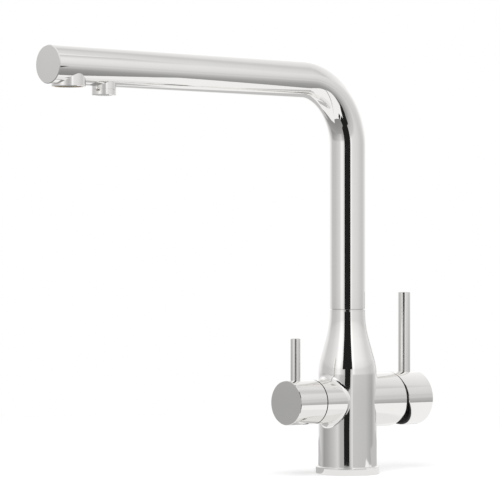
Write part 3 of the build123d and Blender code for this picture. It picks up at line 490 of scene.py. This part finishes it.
def wall_material():
    """A tone that changes round the tap, differs low and high, and brightens up the wall."""
    mat, tree = new_tree("tent_wall")
    turned = turned_place(tree)
    round_it = add(tree, "ShaderNodeTexGradient", gradient_type="RADIAL")
    link(tree, turned, round_it.inputs[0])
    height = split(tree, turned)[2]

    def profile(stops):
        return ramp(tree, round_it.outputs[1], [((a + 180) / 360.0, shown(v)) for a, v in stops])

    # The brightness is halved here and doubled in the glow, so that the ramp stays under 1
    low, high = WALL_HEIGHTS[0][0], WALL_HEIGHTS[-1][0]
    tall = ramp(tree, mapped(tree, height, low, high, 0.0, 1.0),
                [((z - low) / (high - low), v / 2.0) for z, v in WALL_HEIGHTS])
    which = mapped(tree, height, *WALL_MERGE, 0.0, 1.0)
    tone = mixed(tree, which, profile(LOWER_WALL), profile(UPPER_WALL))
    glowing(tree, mixed(tree, 1.0, tone, tall, "MULTIPLY"), strength=2.0)
    return mat


def tent_floor_material():
    mat, tree = new_tree("tent_floor")
    from_axis = length_of(tree, scaled(tree, turned_place(tree), (1.0, 1.0, 0.0)))
    glowing(tree, tone_along(tree, from_axis, TENT_FLOOR_TONES))
    return mat


def roof_material():
    mat, tree = new_tree("roof")
    glowing(tree, tone_along(tree, split(tree, turned_place(tree))[0], ROOF_TONES))
    return mat


def floor_material():
    """A pale floor. To the camera it is as white as the backdrop, but for the tap's soft shadow.
    Mirrors see only the white plate round the foot, and beyond it the tent."""
    mat, tree = new_tree("studio_floor")
    path = add(tree, "ShaderNodeLightPath").outputs
    place = add(tree, "ShaderNodeNewGeometry").outputs["Position"]
    distance = length_of(tree, place)

    matt = add(tree, "ShaderNodeBsdfDiffuse")
    link(tree, ramp(tree, noise(tree, place, 60.0, 3.0), FLOOR_COLOURS), matt.inputs[0])
    lift = add(tree, "ShaderNodeEmission", {"Color": WHITE})
    link(tree, maths(tree, "MULTIPLY", path["Is Camera Ray"], FLOOR_LIFT), lift.inputs[1])
    near = add(tree, "ShaderNodeAddShader")
    link(tree, matt.outputs[0], near.inputs[0])
    link(tree, lift.outputs[0], near.inputs[1])
    white = add(tree, "ShaderNodeEmission", {"Color": WHITE})
    fade = mapped(tree, distance, *FLOOR_FADE, 0.0, 1.0)
    far_off = maths(tree, "MULTIPLY", fade, path["Is Camera Ray"])
    seen = blended(tree, far_off, near.outputs[0], white.outputs[0])

    plate_glow = shown(PLATE_TONE)
    plate = add(tree, "ShaderNodeEmission", {"Color": (plate_glow, plate_glow, plate_glow, 1.0)})
    clear = add(tree, "ShaderNodeBsdfTransparent")
    off_plate = mapped(tree, distance, PLATE_RADIUS, PLATE_RADIUS + PLATE_EDGE, 0.0, 1.0)
    mirrored = blended(tree, off_plate, plate.outputs[0], clear.outputs[0])

    both = blended(tree, path["Is Glossy Ray"], seen, mirrored)
    link(tree, both, add(tree, "ShaderNodeOutputMaterial").inputs[0])
    return mat


# ---------------------------------------------------------------- the scene
def make_camera():
    data = bpy.data.cameras.new("view")
    data.sensor_fit = "HORIZONTAL"
    data.sensor_width = SENSOR_WIDTH
    data.lens = LENS
    data.shift_y = VIEW_SHIFT
    data.clip_end = VIEW_REACH
    obj = bpy.data.objects.new("view", data)
    place = TOWARDS_VIEW * VIEW_DISTANCE + ACROSS_VIEW * VIEW_ASIDE
    obj.location = (place.x, place.y, VIEW_HEIGHT)
    obj.rotation_euler = (math.pi / 2.0, 0.0, VIEW_TURN)
    bpy.context.collection.objects.link(obj)
    bpy.context.scene.camera = obj


def make_black_cards():
    """What the chrome mirrors as the dark strip down the body, the riser and the bend."""
    black = glow("black_card", linear(BLACK_TONE))
    upright_card("foot_card", FOOT_CARD, black)
    upright_card("body_card", BODY_CARD, black)
    upright_card("riser_card", RISER_CARD, black)
    flat_card("floor_card", FLOOR_CARD, WALL_FOOT + 2 * CARD_LIFT, black)


def make_pale_cards():
    white = glow("white_card", shown(PALE_TONE))
    flat_card("white_table", TABLE, TABLE_HEIGHT, white)
    flat_card("white_patch", FLOOR_PATCH, WALL_FOOT + CARD_LIFT, white)
    flat_card("back_table", BACK_TABLE, TABLE_HEIGHT, glow("back_table", shown(BACK_TABLE_TONE)))
    flat_card("foot_shade", SHADE, SHADE_HEIGHT, glow("foot_shade", shown(SHADE_TONE)))


def make_tent():
    round_wall("tent_wall", WALL_RADIUS, WALL_FOOT, WALL_TOP, wall_material())
    make_black_cards()
    only_mirrored(flat_disc("tent_floor", WALL_RADIUS, WALL_FOOT, tent_floor_material()))
    make_pale_cards()
    flat_card("roof", ROOF, ROOF_HEIGHT, roof_material())


def make_floor():
    flat_disc("studio_floor", FLOOR_RADIUS, 0.0, floor_material())


def make_world():
    """White to the camera, pale in mirrors, and an even soft light on everything else."""
    world = bpy.data.worlds.new("studio")
    bpy.context.scene.world = world
    world.use_nodes = True
    tree = world.node_tree
    tree.nodes.clear()
    path = add(tree, "ShaderNodeLightPath").outputs
    back = add(tree, "ShaderNodeBackground", {"Color": WHITE})
    seen = maths(tree, "MAXIMUM", path["Is Camera Ray"], path["Is Transmission Ray"])
    bright = mapped(tree, path["Is Glossy Ray"], 0.0, 1.0, WORLD_LIGHT, WORLD_MIRRORED)
    link(tree, maths(tree, "MAXIMUM", seen, bright), back.inputs[1])
    link(tree, back.outputs[0], add(tree, "ShaderNodeOutputWorld").inputs[0])


def lamp(name, place, watts):
    """A round soft lamp that mirrors don't see."""
    light = bpy.data.lights.new(name, "AREA")
    light.shape = "DISK"
    light.size = LAMP_SIZE
    light.energy = watts
    obj = bpy.data.objects.new(name, light)
    obj.location = place
    obj.rotation_euler = (Vector(LAMP_AIM) - Vector(place)).to_track_quat("-Z", "Y").to_euler()
    obj.visible_glossy = False
    bpy.context.collection.objects.link(obj)


def main():
    dress_nodes()
    make_camera()
    make_tent()
    make_floor()
    make_world()
    lamp("key", KEY_PLACE, KEY_WATTS)
    lamp("fill", FILL_PLACE, FILL_WATTS)
    bpy.context.scene.view_settings.view_transform = "Standard"


main()
